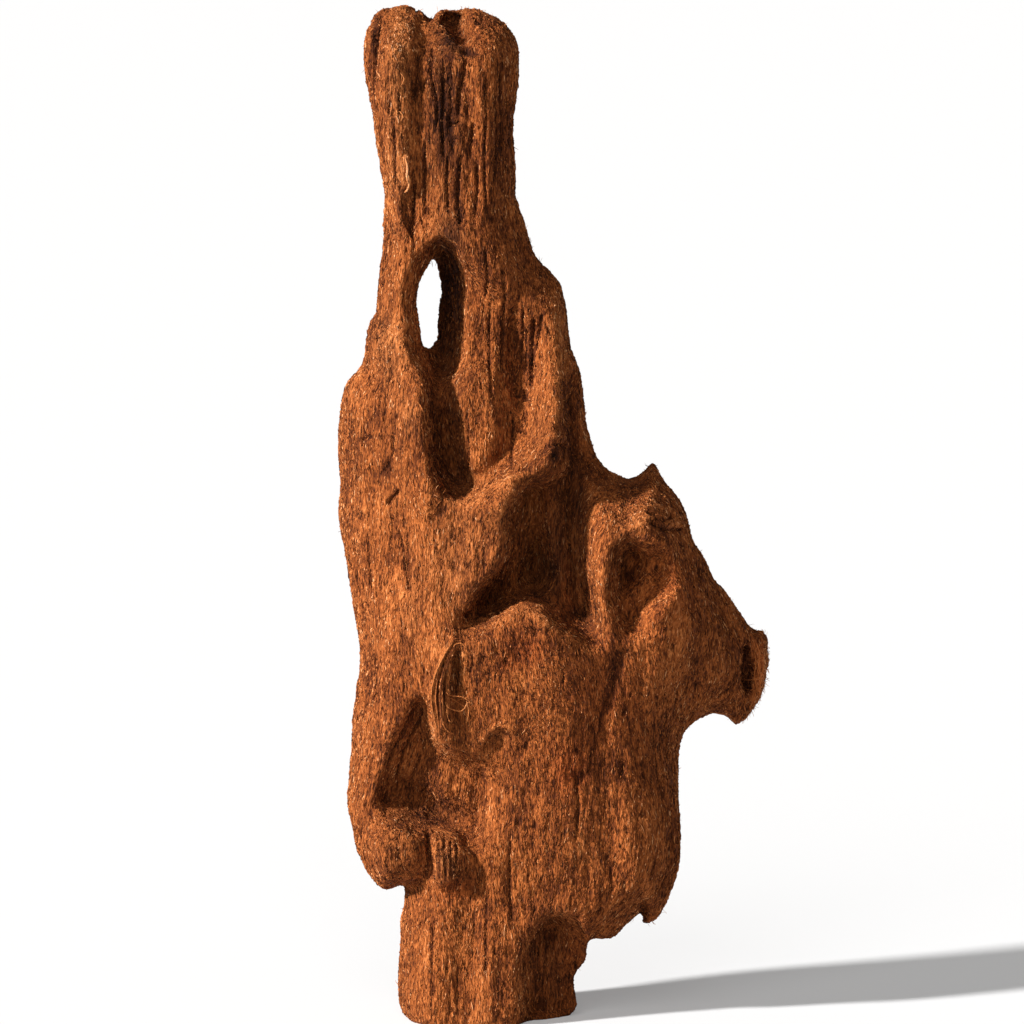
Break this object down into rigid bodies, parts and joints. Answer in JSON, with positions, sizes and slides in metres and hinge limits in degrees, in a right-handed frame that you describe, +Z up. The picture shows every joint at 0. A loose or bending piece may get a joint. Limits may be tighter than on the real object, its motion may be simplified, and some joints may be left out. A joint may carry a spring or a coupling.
{
  "type": "piece of driftwood",
  "caption": "Upright piece of weathered driftwood: a narrow neck with a broken top, a slit-shaped window, long worn hollows, a knot bowl, a ragged side arm and a flat sawn foot.",
  "frame": {"origin": "on the surface that the sawn foot stands on, below the middle of the bounding box", "axes": "+Z up from the foot to the broken top, +X towards the ragged side arm, and the face with the hollows looks along -Y"},
  "size_m": [0.1292, 0.0648, 0.3004],
  "materials": {
    "wood": "dry, weathered and matte, red-brown, with a fibrous grain"
  },
  "bodies": {
    "root": {"driftwood": "wood"}
  },
  "joints": []
}
